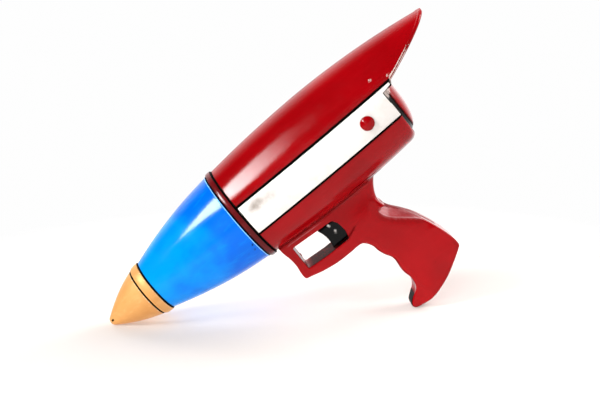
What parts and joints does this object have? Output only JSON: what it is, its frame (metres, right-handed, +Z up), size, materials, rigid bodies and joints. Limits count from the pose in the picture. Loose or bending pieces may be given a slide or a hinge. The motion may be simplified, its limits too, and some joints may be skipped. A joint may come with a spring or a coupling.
{
  "type": "toy ray gun",
  "caption": "Rocket-shaped toy ray gun in pressed tin: a water pistol with a pointed nose, a tail hood, a sliding trigger pump and a plug in its side.",
  "frame": {"origin": "centre of the jet's mouth, at the tip of the nose", "axes": "+X from the muzzle to the tail along the rocket's axis, +Z up with the grip below, and the side with the filler plug faces -Y"},
  "size_m": [0.3273, 0.0877, 0.1865],
  "materials": {
    "red_paint": "gloss enamel, crimson",
    "dark_red_paint": "gloss enamel, dark red",
    "blue_paint": "gloss enamel, azure, brushed by hand",
    "gold_paint": "metallic gold enamel",
    "white_paint": "gloss enamel, white, a little soiled",
    "black_paint": "gloss enamel, black",
    "tinplate": "bare tinplate",
    "plated_steel": "zinc plated",
    "brass": "turned",
    "black_plastic": "moulded, glossy",
    "red_plastic": "moulded, glossy",
    "rubber": "black",
    "vinyl": "clear vinyl, yellowed"
  },
  "bodies": {
    "gun": {"nose_tip": "gold_paint", "nozzle_jet": "brass", "nose_ring": "gold_paint", "barrel_cone": "blue_paint", "tube_guide": "tinplate", "front_band": "dark_red_paint", "front_bulkhead": "tinplate", "shell_left": "red_paint", "shell_right": "red_paint", "side_panel_left": "white_paint", "side_panel_right": "white_paint", "tail_ring": "black_paint", "tail_cap": "red_paint", "water_tank": "tinplate", "tank_saddle_front": "tinplate", "tank_saddle_rear": "tinplate", "frame_left": "red_paint", "frame_right": "red_paint", "frame_screws": "plated_steel", "return_spring": "plated_steel", "gland_nut": "brass", "pump_barrel": "brass", "valve_block": "black_plastic", "inlet_fitting": "brass", "outlet_fitting": "brass", "suction_tube": "vinyl", "delivery_tube": "vinyl"},
    "trigger": {"trigger": "black_plastic", "pump_piston": "brass", "piston_ring": "rubber"},
    "plug": {"filler_plug": "red_plastic", "plug_seal": "rubber"},
    "inlet_ball": {"inlet_ball": "plated_steel"},
    "outlet_ball": {"outlet_ball": "plated_steel"}
  },
  "joints": [
    {"name": "trigger_pull", "type": "slide", "parent": "gun", "child": "trigger", "axis": [1, 0, 0], "range_m": [0, 0.008], "stiffness_N_per_m": 250, "springref_m": -0.006, "deforming": ["return_spring"]},
    {"name": "plug_pull", "type": "slide", "parent": "gun", "child": "plug", "axis": [0, -1, 0], "range_m": [0, 0.012]},
    {"name": "inlet_ball_lift", "type": "slide", "parent": "gun", "child": "inlet_ball", "axis": [0, 0, 1], "range_m": [0, 0.0016]},
    {"name": "outlet_ball_lift", "type": "slide", "parent": "gun", "child": "outlet_ball", "axis": [0, 0, 1], "range_m": [0, 0.0016]}
  ]
}
